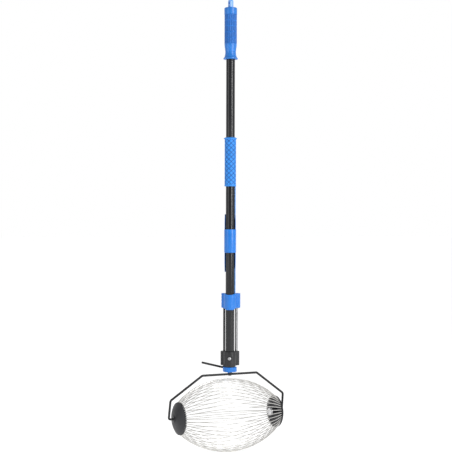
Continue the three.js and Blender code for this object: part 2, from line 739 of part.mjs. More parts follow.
const LINK_SCREWS = {
  link_screw_clamp: [CLAMP.top - LINK_SCREW.inset, CLAMP.radius],
  link_screw_coupler_lower: [COUPLER.bottom + LINK_SCREW.inset, couplerRadius(LINK_SCREW.inset)],
  link_screw_coupler_upper: [COUPLER.top - LINK_SCREW.inset, couplerRadius(LINK_SCREW.inset)],
  link_screw_grip: [MID_GRIP.bottom + LINK_SCREW.inset, MID_GRIP_RADIUS.band],
};
for (const [name, [height, seat]] of Object.entries(LINK_SCREWS)) {
  addPiece(head, name, linkScrew(height, seat), FINISH.brightSteel());
}

addPiece(head, 'pole_lower_tube', lowerTube(), FINISH.blackPole());
addPiece(head, 'pole_joint_insert', jointInsert(), FINISH.brightSteel());
addPiece(head, 'pole_upper_tube', poleTube(POLE.joint + GAP / 2, POLE.top), FINISH.blackPole());
addPiece(head, 'top_handle', topHandle(), FINISH.blueRubber());
addPiece(upright, 'handle_end_cap', handleEndCap(), FINISH.bluePlastic());

export default tool;
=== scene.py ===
"""Looks of the rolling nut gatherer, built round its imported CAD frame. Metres, +Z up."""
import json
import math
import random

import bmesh
import bpy
from mathutils import Matrix, Quaternion, Vector


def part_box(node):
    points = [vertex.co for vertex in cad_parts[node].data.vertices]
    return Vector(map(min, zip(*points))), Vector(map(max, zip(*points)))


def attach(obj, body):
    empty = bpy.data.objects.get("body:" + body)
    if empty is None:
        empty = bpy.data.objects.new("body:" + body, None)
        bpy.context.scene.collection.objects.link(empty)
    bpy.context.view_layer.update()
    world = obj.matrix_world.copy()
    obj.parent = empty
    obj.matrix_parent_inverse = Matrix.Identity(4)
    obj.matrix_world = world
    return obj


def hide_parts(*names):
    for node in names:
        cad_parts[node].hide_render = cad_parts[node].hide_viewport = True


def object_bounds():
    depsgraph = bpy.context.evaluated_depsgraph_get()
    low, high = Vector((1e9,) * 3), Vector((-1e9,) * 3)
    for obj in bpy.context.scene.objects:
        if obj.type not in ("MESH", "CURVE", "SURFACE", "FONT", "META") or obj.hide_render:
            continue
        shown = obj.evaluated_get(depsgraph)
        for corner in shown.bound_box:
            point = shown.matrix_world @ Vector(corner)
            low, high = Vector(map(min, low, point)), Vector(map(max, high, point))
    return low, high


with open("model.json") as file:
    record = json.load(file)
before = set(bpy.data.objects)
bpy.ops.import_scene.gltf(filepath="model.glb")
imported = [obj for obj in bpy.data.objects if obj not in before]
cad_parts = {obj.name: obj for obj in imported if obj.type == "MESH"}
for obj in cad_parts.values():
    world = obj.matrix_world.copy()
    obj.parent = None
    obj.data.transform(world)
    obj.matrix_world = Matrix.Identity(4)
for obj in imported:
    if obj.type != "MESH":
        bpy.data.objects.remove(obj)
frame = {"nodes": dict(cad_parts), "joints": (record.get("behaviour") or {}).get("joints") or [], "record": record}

CAD_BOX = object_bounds()
MM = 0.001
RECORD = frame["record"]

# -------------------- places taken from the frame


def span(node, axis=2):
    """Lowest and highest coordinate of a CAD node along one axis."""
    low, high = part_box(node)
    return low[axis], high[axis]


def joint(name):
    return next(row for row in frame["joints"] if row["name"] == name)


AXLE = Vector(joint("cage_roll")["pos_m"])
WIRE_NODES = sorted(name for name in frame["nodes"] if name.startswith("cage_wire_pair_"))
POLE_RADIUS = (span("pole_upper_tube", 0)[1] - span("pole_upper_tube", 0)[0]) / 2
POLE_Y = sum(span("pole_upper_tube", 1)) / 2

# The clamp, the bracket and the coupler face the front of the tool, which is turned about the pole.
HEAD_TURN = math.radians(-31)
UPRIGHT = Matrix.Translation((0, POLE_Y, 0))
HEAD = UPRIGHT @ Matrix.Rotation(HEAD_TURN, 4, "Z")
LOBE_SIDE = 16.65 * MM  # of the two rods' axes, from the pole's
LOBE_BACK = 14.5 * MM
PUSH_ROD_RADIUS = 2.8 * MM
GUIDE_ROD_RADIUS = 4 * MM
RUNNING_GAP = 0.35 * MM  # between parts that move
GAP = 0.3 * MM  # between parts that don't
OVER = 2 * MM  # how far a cutter runs past the face that it cuts
CORE = 0.05 * MM  # inner radius of a turned solid that has no bore
CREASE = math.radians(32)  # edges sharper than this stay sharp

# -------------------- mesh building


def add_object(name, data):
    """A new object that shows the data, linked to the scene."""
    made = bpy.data.objects.new(name, data)
    bpy.context.scene.collection.objects.link(made)
    return made


def to_mesh(name, bm):
    mesh = bpy.data.meshes.new(name)
    bmesh.ops.recalc_face_normals(bm, faces=bm.faces)
    bm.to_mesh(mesh)
    bm.free()
    return mesh


def skin(rings, looped=False):
    """A closed surface over rings of equally many points: open ends are capped, a looped one needs none."""
    bm = bmesh.new()
    rows = [[bm.verts.new(point) for point in ring] for ring in rings]
    neighbours = list(zip(rows, rows[1:]))
    if looped:
        neighbours.append((rows[-1], rows[0]))
    count = len(rows[0])
    for lower, upper in neighbours:
        for i in range(count):
            j = (i + 1) % count
            bm.faces.new((lower[i], lower[j], upper[j], upper[i]))
    if not looped:
        bm.faces.new(rows[0])
        bm.faces.new(rows[-1])
    return to_mesh("skin", bm)


def circle(radius, height, sides, x=0.0, y=0.0):
    turns = [2 * math.pi * i / sides for i in range(sides)]
    return [Vector((x + radius * math.cos(t), y + radius * math.sin(t), height)) for t in turns]


def rounded(corners, radius, steps=4, looped=True):
    """A 2D outline with its corners turned into arcs. A corner may carry its own radius as a third value."""
    points = [Vector(corner[:2]) for corner in corners]
    radii = [corner[2] if len(corner) > 2 else radius for corner in corners]
    outline = []
    last = len(points) - 1
    for i, corner in enumerate(points):
        if not looped and i in (0, last):
            outline.append(corner)
            continue
        before = points[i - 1] - corner
        after = points[(i + 1) % len(points)] - corner
        turn = math.pi - before.angle(after)
        reach = radii[i] * math.tan(turn / 2)
        room = 0.49 * min(before.length, after.length)
        if reach < 1e-9 or turn < 1e-3:
            outline.append(corner)
            continue
        arc_radius = radii[i] * min(1, room / reach)
        reach = min(reach, room)
        start = corner + before.normalized() * reach
        inward = (before.normalized() + after.normalized()).normalized()
        centre = corner + inward * (arc_radius / math.cos(turn / 2))
        spoke = start - centre
        side = 1 if after.cross(before) > 0 else -1
        for step in range(steps + 1):
            angle = side * turn * step / steps
            cos, sin = math.cos(angle), math.sin(angle)
            outline.append(centre + Vector((spoke.x * cos - spoke.y * sin, spoke.x * sin + spoke.y * cos)))
    return outline


def turned(profile, sides=96, edge=0.5 * MM, looped=True, steps=4):
    """A solid of revolution about Z from corners (radius, height), with its corners rounded."""
    outline = rounded(profile, edge, steps, looped)
    return skin([circle(point[0], point[1], sides) for point in outline], looped)


def tube(inner, outer, low, high, edge, sides=96):
    """A plain ring about Z."""
    return turned([(inner, low), (outer, low), (outer, high), (inner, high)], sides, edge)


def grooved(heights, radius_at, sides, bore):
    """A sleeve about Z whose outside is radius_at(height, angle), round a plain bore."""
    def ring(height):
        turns = [2 * math.pi * i / sides for i in range(sides)]
        radii = [radius_at(height, t) for t in turns]
        return [Vector((r * math.cos(t), r * math.sin(t), height)) for r, t in zip(radii, turns)]

    rings = [ring(height) for height in heights]
    rings.append(circle(bore, heights[-1], sides))
    rings.append(circle(bore, heights[0], sides))
    return skin(rings, looped=True)


def bent(corners, bends, steps=8):
    """Points of a wire that runs straight between 3D corners, with an arc at each inner one."""
    points = [corners[0]]
    for before, corner, after, bend in zip(corners, corners[1:], corners[2:], bends):
        incoming = (corner - before).normalized()
        outgoing = (after - corner).normalized()
        turn = incoming.angle(outgoing)
        inward = (outgoing - incoming * math.cos(turn)).normalized()
        centre = corner - incoming * (bend * math.tan(turn / 2)) + inward * bend
        for step in range(steps + 1):
            angle = turn * step / steps
            points.append(centre - bend * (inward * math.cos(angle) - incoming * math.sin(angle)))
    points.append(corners[-1])
    return points


def swept(points, radius, sides, end_round=0.0):
    """A round wire through the points. end_round chamfers its ends."""
    tangents = []
    for i in range(len(points)):
        ahead = points[min(i + 1, len(points) - 1)]
        behind = points[max(i - 1, 0)]
        tangents.append((ahead - behind).normalized())
    normal = tangents[0].orthogonal().normalized()
    turns = [2 * math.pi * k / sides for k in range(sides)]
    rings = []
    for point, tangent in zip(points, tangents):
        normal = (normal - tangent * normal.dot(tangent)).normalized()
        across = tangent.cross(normal)
        rings.append([point + radius * (math.cos(t) * normal + math.sin(t) * across) for t in turns])
    if end_round:
        rings.insert(0, blunt(rings[0], points[0], -tangents[0] * end_round, end_round / radius))
        rings.append(blunt(rings[-1], points[-1], tangents[-1] * end_round, end_round / radius))
    return skin(rings)


def blunt(ring, centre, onward, share):
    """A smaller copy of a wire's end ring, pushed outwards, for a chamfer."""
    return [centre + (point - centre) * (1 - share) + onward for point in ring]


def arc(centre, radius, start, end, steps):
    """Points of a 2D arc between two angles, both ends included."""
    turns = [start + (end - start) * step / steps for step in range(steps + 1)]
    return [Vector((centre[0] + radius * math.cos(t), centre[1] + radius * math.sin(t))) for t in turns]


def slab(loops, bottom, top, edge):
    """A flat plate from 2D loops, the first one its outline and the rest its holes, with rounded rims."""
    curve = bpy.data.curves.new("slab", "CURVE")
    curve.dimensions = "2D"
    curve.fill_mode = "BOTH"
    curve.extrude = (top - bottom) / 2 - edge
    curve.bevel_depth = edge
    curve.bevel_resolution = 3
    curve.offset = -edge
    for loop in loops:
        spline = curve.splines.new("POLY")
        spline.points.add(len(loop) - 1)
        for target, point in zip(spline.points, loop):
            target.co = (point[0], point[1], 0, 1)
        spline.use_cyclic_u = True
    mesh = evaluated(add_object("slab", curve))
    bpy.data.curves.remove(curve)
    bm = bmesh.new()
    bm.from_mesh(mesh)
    bmesh.ops.remove_doubles(bm, verts=bm.verts, dist=1e-6)
    bmesh.ops.translate(bm, verts=bm.verts, vec=(0, 0, (bottom + top) / 2))
    return to_mesh("slab", bm)


def evaluated(shape):
    """The mesh that an object shows, as a mesh of its own. The object is removed."""
    bpy.context.view_layer.update()
    graph = bpy.context.evaluated_depsgraph_get()
    mesh = bpy.data.meshes.new_from_object(shape.evaluated_get(graph))
    bpy.data.objects.remove(shape)
    return mesh


def combined(base, tool, operation):
    """UNION, DIFFERENCE or INTERSECT of two closed meshes."""
    first, second = add_object("operand", base), add_object("operand", tool)
    modifier = first.modifiers.new("combine", "BOOLEAN")
    modifier.operation = operation
    modifier.solver = "EXACT"
    modifier.object = second
    mesh = evaluated(first)
    bpy.data.objects.remove(second)
    return mesh


def joined(base, *tools):
    for tool in tools:
        base = combined(base, tool, "UNION")
    return base


def cut(base, *tools):
    for tool in tools:
        base = combined(base, tool, "DIFFERENCE")
    return base


def placed(mesh, matrix):
    mesh.transform(matrix)
    return mesh


def saw(value):
    """A triangle wave between 0 and 1, with period 1."""
    return abs(2 * (value - math.floor(value)) - 1)


def eased(share):
    """A smooth step from 0 to 1."""
    share = min(1.0, max(0.0, share))
    return share * share * (3 - 2 * share)


def rod(radius, start, end, sides=32):
    """A plain round bar between two points."""
    axis = end - start
    turn = axis.to_track_quat("Z", "Y").to_matrix().to_4x4()
    mesh = skin([circle(radius, 0, sides), circle(radius, axis.length, sides)])
    return placed(mesh, Matrix.Translation(start) @ turn)


def drill(radius, bottom, top, x=0.0, y=0.0, sides=64):
    """A cutter for an upright hole."""
    return rod(radius, Vector((x, y, bottom)), Vector((x, y, top)), sides)


def add_piece(node, mesh, material, body, slot):
    """Shows a finished mesh in place of a CAD node, as a piece that rides on the node's body."""
    name = node + "_smooth"
    mesh.name = name
    mesh.materials.clear()
    mesh.materials.append(MATERIALS[material])
    mesh.shade_smooth()
    mesh.set_sharp_from_angle(angle=CREASE)
    piece = add_object(name, mesh)
    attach(piece, body)
    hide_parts(node)
    return piece


# -------------------- materials


def fill(node, **sockets):
    """Sets a node's inputs by name. An underscore stands for a space."""
    for name, value in sockets.items():
        node.inputs[name.replace("_", " ")].default_value = value


class Nodes:
    """A short way to write the node tree of a material or of the world."""

    def __init__(self, owner):
        owner.use_nodes = True
        self.owner = owner
        self.tree = owner.node_tree
        self.shader = self.tree.nodes.get("Principled BSDF")
        self.place = self.add("ShaderNodeTexCoord").outputs

    def add(self, kind, **sockets):
        node = self.tree.nodes.new(kind)
        fill(node, **sockets)
        return node

    def link(self, source, target):
        self.tree.links.new(source, target)

    def noise(self, scale, detail=3.0, stretch=(1, 1, 1)):
        """Noise over the object, `scale` waves to the metre, drawn out where stretch is small."""
        mapping = self.add("ShaderNodeMapping", Scale=stretch)
        self.link(self.place["Object"], mapping.inputs["Vector"])
        noise = self.add("ShaderNodeTexNoise", Scale=scale, Detail=detail, Roughness=0.55)
        self.link(mapping.outputs["Vector"], noise.inputs["Vector"])
        return noise.outputs["Fac"]

    def ramp(self, source, stops):
        """A colour ramp over a value, from (position, colour) stops."""
        ramp = self.add("ShaderNodeValToRGB")
        elements = ramp.color_ramp.elements
        while len(elements) < len(stops):
            elements.new(0.5)
        for element, (position, colour) in zip(elements, stops):
            element.position = position
            element.color = (*colour, 1)
        self.link(source, ramp.inputs["Fac"])
        return ramp.outputs["Color"]

    def spread(self, source, low, high):
        """Noise spread between two values."""
        spread = self.add("ShaderNodeMapRange", From_Min=0.3, From_Max=0.7, To_Min=low, To_Max=high)
        self.link(source, spread.inputs["Value"])
        return spread.outputs["Result"]

    def bump(self, source, depth, strength):
        bump = self.add("ShaderNodeBump", Distance=depth, Strength=strength)
        self.link(source, bump.inputs["Height"])
        self.link(bump.outputs["Normal"], self.shader.inputs["Normal"])


def shades(colour, spread):
    """Three neighbouring shades of a colour, darker to lighter, as ramp stops."""
    darker = tuple(channel * (1 - spread) for channel in colour)
    lighter = tuple(min(1, channel * (1 + spread)) for channel in colour)
    return [(0.3, darker), (0.5, colour), (0.7, lighter)]


def plastic(name, colour, roughness, grain=0.00004, spread=0.06, coat=0.0):
    """Moulded plastic: slightly uneven colour and gloss, with a fine spark-eroded grain."""
    made = Nodes(bpy.data.materials.new(name))
    made.link(made.ramp(made.noise(45), shades(colour, spread)), made.shader.inputs["Base Color"])
    gloss = made.noise(220, detail=4)
    made.link(made.spread(gloss, roughness * 0.85, roughness * 1.15), made.shader.inputs["Roughness"])
    made.bump(made.noise(2200, detail=2), grain, 0.6)
    fill(made.shader, IOR=1.49, Coat_Weight=coat, Coat_Roughness=0.2)
    return made.owner


def powder_coat(name, colour, roughness):
    """Powder-coated metal: orange peel under a satin gloss, with faint scuffs along the pole."""
    made = Nodes(bpy.data.materials.new(name))
    scuffs = made.noise(60, detail=3, stretch=(1, 1, 0.2))
    made.link(made.ramp(scuffs, shades(colour, 0.15)), made.shader.inputs["Base Color"])
    made.link(made.spread(scuffs, roughness * 0.9, roughness * 1.1), made.shader.inputs["Roughness"])
    made.bump(made.noise(900, detail=2), 0.000004, 0.3)
    fill(made.shader, IOR=1.43)
    return made.owner


def steel(name, colour, roughness, streak=(1, 1, 1)):
    """Bright steel: marks drawn out where `streak` is small, and a slightly clouded zinc colour."""
    made = Nodes(bpy.data.materials.new(name))
    marks = made.noise(700, detail=5, stretch=streak)
    cloud = made.noise(90, detail=3)
    made.link(made.ramp(cloud, shades(colour, 0.1)), made.shader.inputs["Base Color"])
    made.link(made.spread(marks, roughness * 0.7, roughness * 1.4), made.shader.inputs["Roughness"])
    made.bump(marks, 0.00003, 0.5)
    fill(made.shader, Metallic=1.0)
    return made.owner


BLUE = (0.005, 0.165, 0.6)
GRIP_BLUE = (0.02, 0.23, 0.7)
# Painted shade for the valleys of the mid grip's knurl.
KNURL_SHADE_BLUE = (0.004, 0.075, 0.3)
PAD_BLUE = (0.008, 0.13, 0.48)
# Painted shade for the valleys of the handle's ribs.
RIB_SHADE_BLUE = (0.006, 0.095, 0.36)
SOFT_BLUE = (0.012, 0.16, 0.54)
# A paler copy of the blue as painted highlight, for the spine bars and the hanging tab.
PAINTED_HIGHLIGHT_BLUE = (0.18, 0.39, 0.82)

MATERIALS = {
    "blue": plastic("blue_plastic", BLUE, 0.36, coat=0.1),
    "soft_blue": plastic("soft_blue_plastic", SOFT_BLUE, 0.4, coat=0.1),
    "painted_highlight_blue": plastic("pale_blue_plastic", PAINTED_HIGHLIGHT_BLUE, 0.32, coat=0.1),
    "blue_grip": plastic("blue_grip", GRIP_BLUE, 0.5, grain=0.00007),
    "blue_pads": plastic("blue_pads", PAD_BLUE, 0.5, grain=0.00007),
    "knurl_painted_shade": plastic("knurl_painted_shade", KNURL_SHADE_BLUE, 0.6, grain=0.00007),
    "rib_painted_shade": plastic("rib_painted_shade", RIB_SHADE_BLUE, 0.6, grain=0.00007),
    "cap": plastic("cap_plastic", (0.016, 0.016, 0.019), 0.5, spread=0.2),
    "bracket": plastic("bracket_plastic", (0.013, 0.013, 0.0155), 0.45, spread=0.25),
    "bush": plastic("bush_plastic", (0.02, 0.02, 0.022), 0.4),
    "pole": powder_coat("pole_paint", (0.011, 0.0115, 0.0135), 0.17),
    "dark_wire": powder_coat("dark_wire", (0.012, 0.012, 0.013), 0.45),
    "wire": steel("cage_wire", (0.66, 0.65, 0.63), 0.34, streak=(0.1, 1, 1)),
    "guide_rod": steel("guide_rod_steel", (0.36, 0.36, 0.37), 0.4, streak=(1, 1, 0.05)),
    "fastener": steel("fastener_steel", (0.74, 0.74, 0.75), 0.34),
    "bolt": steel("bolt_steel", (0.5, 0.5, 0.51), 0.42),
    "axle_nut": steel("axle_nut_steel", (0.75, 0.75, 0.76), 0.5),
    "insert": steel("insert_metal", (0.6, 0.6, 0.61), 0.35, streak=(1, 1, 0.05)),
}

# -------------------- wire cage

WIRE_RADIUS = 1 * MM
WIRE_COUNT = 2 * len(WIRE_NODES)
WIRE_PITCH = 2 * math.pi / WIRE_COUNT
CAGE_TURN = math.radians(0.9)  # a gap between two wires lies under the arm
CAGE_RADIUS = (AXLE.z - WIRE_RADIUS) / math.cos(WIRE_PITCH / 2 - CAGE_TURN)
WIRE_END_X = 146 * MM
WIRE_END_RADIUS = 40.4 * MM
WIRE_SAG = CAGE_RADIUS - WIRE_END_RADIUS
WIRE_ARC = (WIRE_END_X ** 2 + WIRE_SAG ** 2) / (2 * WIRE_SAG)
WIRE_SWAY = 0.45 * MM


def wire_point(x, tilt, sway):
    """A wire's centre line at x, tilted about the axle, with a slight sideways bow at the middle."""
    radius = CAGE_RADIUS - WIRE_ARC + math.sqrt(WIRE_ARC ** 2 - x ** 2)
    bow = sway * (1 - (x / WIRE_END_X) ** 2) / radius
    return Vector((x, radius * math.sin(tilt + bow), radius * math.cos(tilt + bow)))


def hairpin(sways, steps=40, bend_steps=6):
    """Two neighbouring wires and the tight bend that joins them inside the right cap."""
    sweep = math.asin(WIRE_END_X / WIRE_ARC)
    places = [WIRE_ARC * math.sin(sweep * (2 * step / steps - 1)) for step in range(steps + 1)]
    half = WIRE_PITCH / 2
    outward = [wire_point(x, -half, sways[0]) for x in places]
    back = [wire_point(x, half, sways[1]) for x in reversed(places)]
    onward = Vector((math.cos(sweep), 0, -math.sin(sweep)))
    middle = (outward[-1] + back[0]) / 2
    across = (back[0] - outward[-1]) / 2
    bend = []
    for step in range(1, bend_steps):
        angle = math.pi * step / bend_steps
        bend.append(middle - across * math.cos(angle) + onward * (across.length * math.sin(angle)))
    return swept(outward + bend + back, WIRE_RADIUS, sides=10)


def add_wires():
    dice = random.Random(7)
    for i, node in enumerate(WIRE_NODES):
        sways = [dice.uniform(-WIRE_SWAY, WIRE_SWAY) for _ in range(2)]
        turn = Matrix.Rotation(-(2 * i * WIRE_PITCH + CAGE_TURN), 4, "X")
        mesh = placed(hairpin(sways), Matrix.Translation(AXLE) @ turn)
        add_piece(node, mesh, "wire", "cage", "cage_wire")


# -------------------- cage ends, made along Z for the right


def axle_span(node):
    """Lowest and highest place of a node along the axle, from the cage's middle."""
    low, high = span(node, 0)
    return low - AXLE.x, high - AXLE.x


def half_height(node):
    low, high = span(node, 2)
    return (high - low) / 2


HUB_END, CAP_TOP = axle_span("end_cap_right")
CAP_RADIUS = half_height("end_cap_right")
CAP_DOME = 14.5 * MM
CAP_SKIRT = 5 * MM
CAP_WALL = 1.6 * MM
SKIRT_WALL = 1.8 * MM
HUB_RADIUS = 9.3 * MM
HUB_BORE = 6.3 * MM
NOTCH_DEPTH = 4.2 * MM
NOTCH_HALF_WIDTH = 1.7 * MM
NUT_END = 1.5 * MM  # from the closed end of an axle nut to the bail's end inside it


def dome_height(radius):
    return CAP_TOP - CAP_DOME * (radius ** 2 - HUB_BORE ** 2) / CAP_RADIUS ** 2


CAP_RIM = dome_height(CAP_RADIUS) - CAP_SKIRT


def notch(angle):
    """How deep the rim is notched at an angle, as a share of the depth: one round notch for each wire."""
    middle = (math.floor(angle / WIRE_PITCH) + 0.5) * WIRE_PITCH
    offset = abs(angle - middle) * CAP_RADIUS / NOTCH_HALF_WIDTH
    return min(1.0, 1.4 * math.sqrt(max(0.0, 1 - offset ** 2)))


def notched_ring(radius, lift, sides):
    ring = circle(radius, 0, sides)
    for i, point in enumerate(ring):
        point.z = CAP_RIM + max(lift, NOTCH_DEPTH * notch(2 * math.pi * i / sides))
    return ring


def cap_mesh():
    sides = WIRE_COUNT * 12
    skirt_bore = CAP_RADIUS - SKIRT_WALL
    rim_height = dome_height(CAP_RADIUS)
    shoulder, ease = 1.2 * MM, 0.3 * MM
    shares = [part / 10 for part in range(11)]
    outside = [HUB_BORE + share * (CAP_RADIUS - shoulder - HUB_BORE) for share in shares]
    inside = [skirt_bore - 0.4 * MM - share * (skirt_bore - HUB_RADIUS - 0.6 * MM) for share in shares]
    rings = [circle(radius, dome_height(radius), sides) for radius in outside]
    rings.append(circle(CAP_RADIUS - 0.35 * MM, rim_height + 0.15 * MM, sides))
    rings.append(circle(CAP_RADIUS, rim_height - 0.6 * MM, sides))
    notched = [(CAP_RADIUS, ease), (CAP_RADIUS - ease, 0), (skirt_bore + ease, 0), (skirt_bore, ease)]
    rings += [notched_ring(radius, lift, sides) for radius, lift in notched]
    rings += [circle(radius, dome_height(radius) - CAP_WALL, sides) for radius in inside]
    rings.append(circle(HUB_RADIUS, HUB_END + 0.4 * MM, sides))
    rings.append(circle(HUB_RADIUS - 0.4 * MM, HUB_END, sides))
    rings.append(circle(HUB_BORE, HUB_END, sides))
    return skin(rings, looped=True)


def plate_mesh():
    """The dish behind the wires' ends, thickened round its hub."""
    bore = HUB_RADIUS + GAP
    low, high = axle_span("wire_plate_right")
    rim = half_height("wire_plate_right")
    lip = rim - 6 * MM
    thickness = 2 * MM
    return turned([
        (bore, high - thickness), (bore + 3 * MM, high - 1.2 * thickness), (lip, low), (rim, low),
        (rim, low + thickness), (lip, low + thickness), (bore, high),
    ], edge=0.6 * MM)


def bush_mesh():
    low, high = axle_span("hub_bush_right")
    bore, barrel = 3.4 * MM, 6 * MM
    flange = half_height("hub_bush_right")
    seat = high - 1.2 * MM
    return turned([
        (bore, low), (barrel, low), (barrel, seat), (flange, seat), (flange, high), (bore, high),
    ], edge=0.35 * MM, sides=64)


def washer_mesh():
    low, high = axle_span("axle_washer_right")
    return tube(BAIL_RADIUS + GAP, half_height("axle_washer_right"), low, high, 0.25 * MM, 64)


def hexagon_nut(across_flats, bottom, top, bore):
    """A hexagonal nut about Z, its corners chamfered at both ends."""
    corner = across_flats / math.sqrt(3)
    flat = across_flats / 2
    depth = (corner - flat) * 0.6
    hexagon = skin([circle(corner, bottom, 6), circle(corner, top, 6)])
    barrel = turned([
        (bore, bottom), (flat * 0.98, bottom), (corner * 1.02, bottom + depth),
        (corner * 1.02, top - depth), (flat * 0.98, top), (bore, top),
    ], edge=0.05 * MM, sides=72)
    return combined(hexagon, barrel, "INTERSECT")


def axle_nut_mesh():
    """A closed nut, whose bore stops short of the end towards the cage's middle."""
    low, high = axle_span("axle_nut_right")
    corner = half_height("axle_nut_right")
    nut = hexagon_nut(corner * math.sqrt(3), low, high, 0.05 * MM)
    return cut(nut, drill(BAIL_RADIUS + GAP, low + NUT_END - GAP, high + OVER))


def add_cage_end(side, sign):
    """Adds every piece of one end. `sign` is the side's direction along X."""
    lay = Matrix.Translation(AXLE) @ Matrix.Rotation(sign * math.pi / 2, 4, "Y")
    to_wires = Matrix.Rotation(-sign * CAGE_TURN, 4, "Z")
    rows = [
        ("end_cap_", placed(cap_mesh(), to_wires), "cap", "cage", "cap_plastic"),
        ("wire_plate_", plate_mesh(), "cap", "cage", "cap_plastic"),
        ("hub_bush_", bush_mesh(), "bush", "cage", "bush_plastic"),
        ("axle_washer_", washer_mesh(), "fastener", "root", "fastener_steel"),
        ("axle_nut_", axle_nut_mesh(), "axle_nut", "root", "fastener_steel"),
    ]
    for prefix, mesh, material, body, slot in rows:
        add_piece(prefix + side, placed(mesh, lay), material, body, slot)


# -------------------- bail and rods

BAIL_RADIUS = 3 * MM
BAIL_LEAN = math.radians(9.15)
BAIL_TOP = {"half_width": 82.4 * MM, "rise": 114.5 * MM}  # `rise` is from the axle, in the bail's plane
BAIL_SHOULDER = {"half_width": 170.7 * MM, "rise": 51.1 * MM}
BAIL_FOOT_HALF_WIDTH = 172.2 * MM
BAIL_BENDS = [5 * MM, 9 * MM, 9 * MM]  # foot, shoulder, top
BAIL_TOP_Z = AXLE.z + BAIL_TOP["rise"] * math.cos(BAIL_LEAN)


def bail_mesh():
    """The bail leans forward from the axle, and its two ends are the axles."""
    def corner(x, rise):
        return Vector((x, -rise * math.sin(BAIL_LEAN), AXLE.z + rise * math.cos(BAIL_LEAN)))

    places = [(BAIL_FOOT_HALF_WIDTH, 0), tuple(BAIL_SHOULDER.values()), tuple(BAIL_TOP.values())]
    left_end = span("axle_nut_left", 0)[1] - NUT_END
    right_end = span("axle_nut_right", 0)[0] + NUT_END
    corners = [corner(left_end, 0)]
    corners += [corner(-x, rise) for x, rise in places]
    corners += [corner(x, rise) for x, rise in reversed(places)]
    corners.append(corner(right_end, 0))
    return swept(bent(corners, BAIL_BENDS + BAIL_BENDS[::-1]), BAIL_RADIUS, sides=24)


PUSH_ROD_FOOT = 227.4 * MM
PUSH_ROD_BEND = 5 * MM
PUSH_ROD_BLUNTING = 0.4 * MM
ARM = Vector((-67.8 * MM, -2.5 * MM, 17.4 * MM))  # from the rod's foot to the arm's end


def push_rod_mesh():
    """The rod drops from the clamp's left lobe and turns into the arm over the cage."""
    blunting = PUSH_ROD_BLUNTING
    axis = HEAD @ Vector((-LOBE_SIDE, LOBE_BACK, 0))
    top = Vector((axis.x, axis.y, span("push_rod")[1] - blunting))
    foot = Vector((axis.x, axis.y, PUSH_ROD_FOOT))
    end = foot + ARM - ARM.normalized() * blunting
    return swept(bent([top, foot, end], [PUSH_ROD_BEND], 12), PUSH_ROD_RADIUS, sides=24, end_round=blunting)


def guide_rod_mesh():
    bottom, top = span("guide_rod")
    profile = [(CORE, bottom), (GUIDE_ROD_RADIUS, bottom), (GUIDE_ROD_RADIUS, top), (CORE, top)]
    mesh = turned(profile, edge=0.7 * MM, sides=48, looped=False)
    return placed(mesh, HEAD @ Matrix.Translation((LOBE_SIDE, LOBE_BACK, 0)))


# -------------------- head: clamp, bracket, neck and their bolt


def polar(length, angle):
    return Vector((math.cos(angle), math.sin(angle))) * length


def turn_towards(vector):
    return math.atan2(vector.y, vector.x)


def later(turn, start):
    """The same direction as `turn`, as an angle that follows start."""
    return start + (turn - start) % (2 * math.pi)


def earlier(turn, start):
    """The same direction as `turn`, as an angle that comes before start."""
    return start - (start - turn) % (2 * math.pi)


def lobed_outline(body, right_lobe, left_lobe, fillet):
    """Outline of the round body with two lobes behind it, joined by fillets. +Y points to the back."""
    distance = math.hypot(LOBE_SIDE, LOBE_BACK)
    reach = body + fillet
    right = math.atan2(LOBE_BACK, LOBE_SIDE)
    rows = []
    for middle, lobe in ((right, right_lobe), (math.pi - right, left_lobe)):
        cosine = (reach ** 2 + distance ** 2 - (lobe + fillet) ** 2) / (2 * reach * distance)
        rows.append((middle, lobe, math.acos(cosine)))
    outline = []
    for i, (middle, lobe, spread) in enumerate(rows):
        centre = polar(distance, middle)
        first = polar(reach, middle - spread)
        second = polar(reach, middle + spread)
        leave = middle - spread + math.pi
        outline += arc(first, fillet, leave, earlier(turn_towards(centre - first), leave), 5)
        start = turn_towards(first - centre)
        outline += arc(centre, lobe, start, later(turn_towards(second - centre), start), 30)
        arrive = turn_towards(centre - second)
        outline += arc(second, fillet, arrive, earlier(middle + spread - math.pi, arrive), 5)
        following, _, next_spread = rows[(i + 1) % 2]
        start = middle + spread
        outline += arc((0, 0), body, start, later(following - next_spread, start), 40)
    return outline


LOBE_FILLET = 2.2 * MM
LOBE_RAMP = {"start": 8 * MM, "length": 10 * MM}  # where the foot rises, from the middle outwards


def lobed_body(body, right_lobe, left_lobe, bottom, top, lobe_lift, edge):
    """The lobed prism, whose foot rises from the middle to the lobes."""
    outline = lobed_outline(body, right_lobe, left_lobe, LOBE_FILLET)
    mesh = slab([outline], bottom, top, edge)
    for vertex in mesh.vertices:
        if vertex.co.z < bottom + 2 * edge:
            share = eased((abs(vertex.co.x) - LOBE_RAMP["start"]) / LOBE_RAMP["length"])
            vertex.co.z += lobe_lift * share
    return mesh


def funnel(radius, depth, height, x, y):
    """A chamfer cutter for the mouth of a hole that opens upwards at a height."""
    rings = [circle(radius, height - depth, 48, x, y), circle(radius + 2 * depth, height + depth, 48, x, y)]
    return skin(rings)


CLAMP_RADIUS = 16.5 * MM
CLAMP_LOBES = (10.4 * MM, 7.8 * MM)  # right and left
CLAMP_LOBE_LIFT = 4.5 * MM
CLAMP_EDGE = 0.9 * MM
CLAMP_SCOOP = {"radius": 14 * MM, "drop": 3.4 * MM}
CLAMP_GROOVES = {"radius": 1.5 * MM, "depth": 0.9 * MM, "first": 7 * MM, "spacing": 8 * MM, "reach": 9 * MM}
SHELL_BORE = 13.8 * MM
TONGUE = 12 * MM


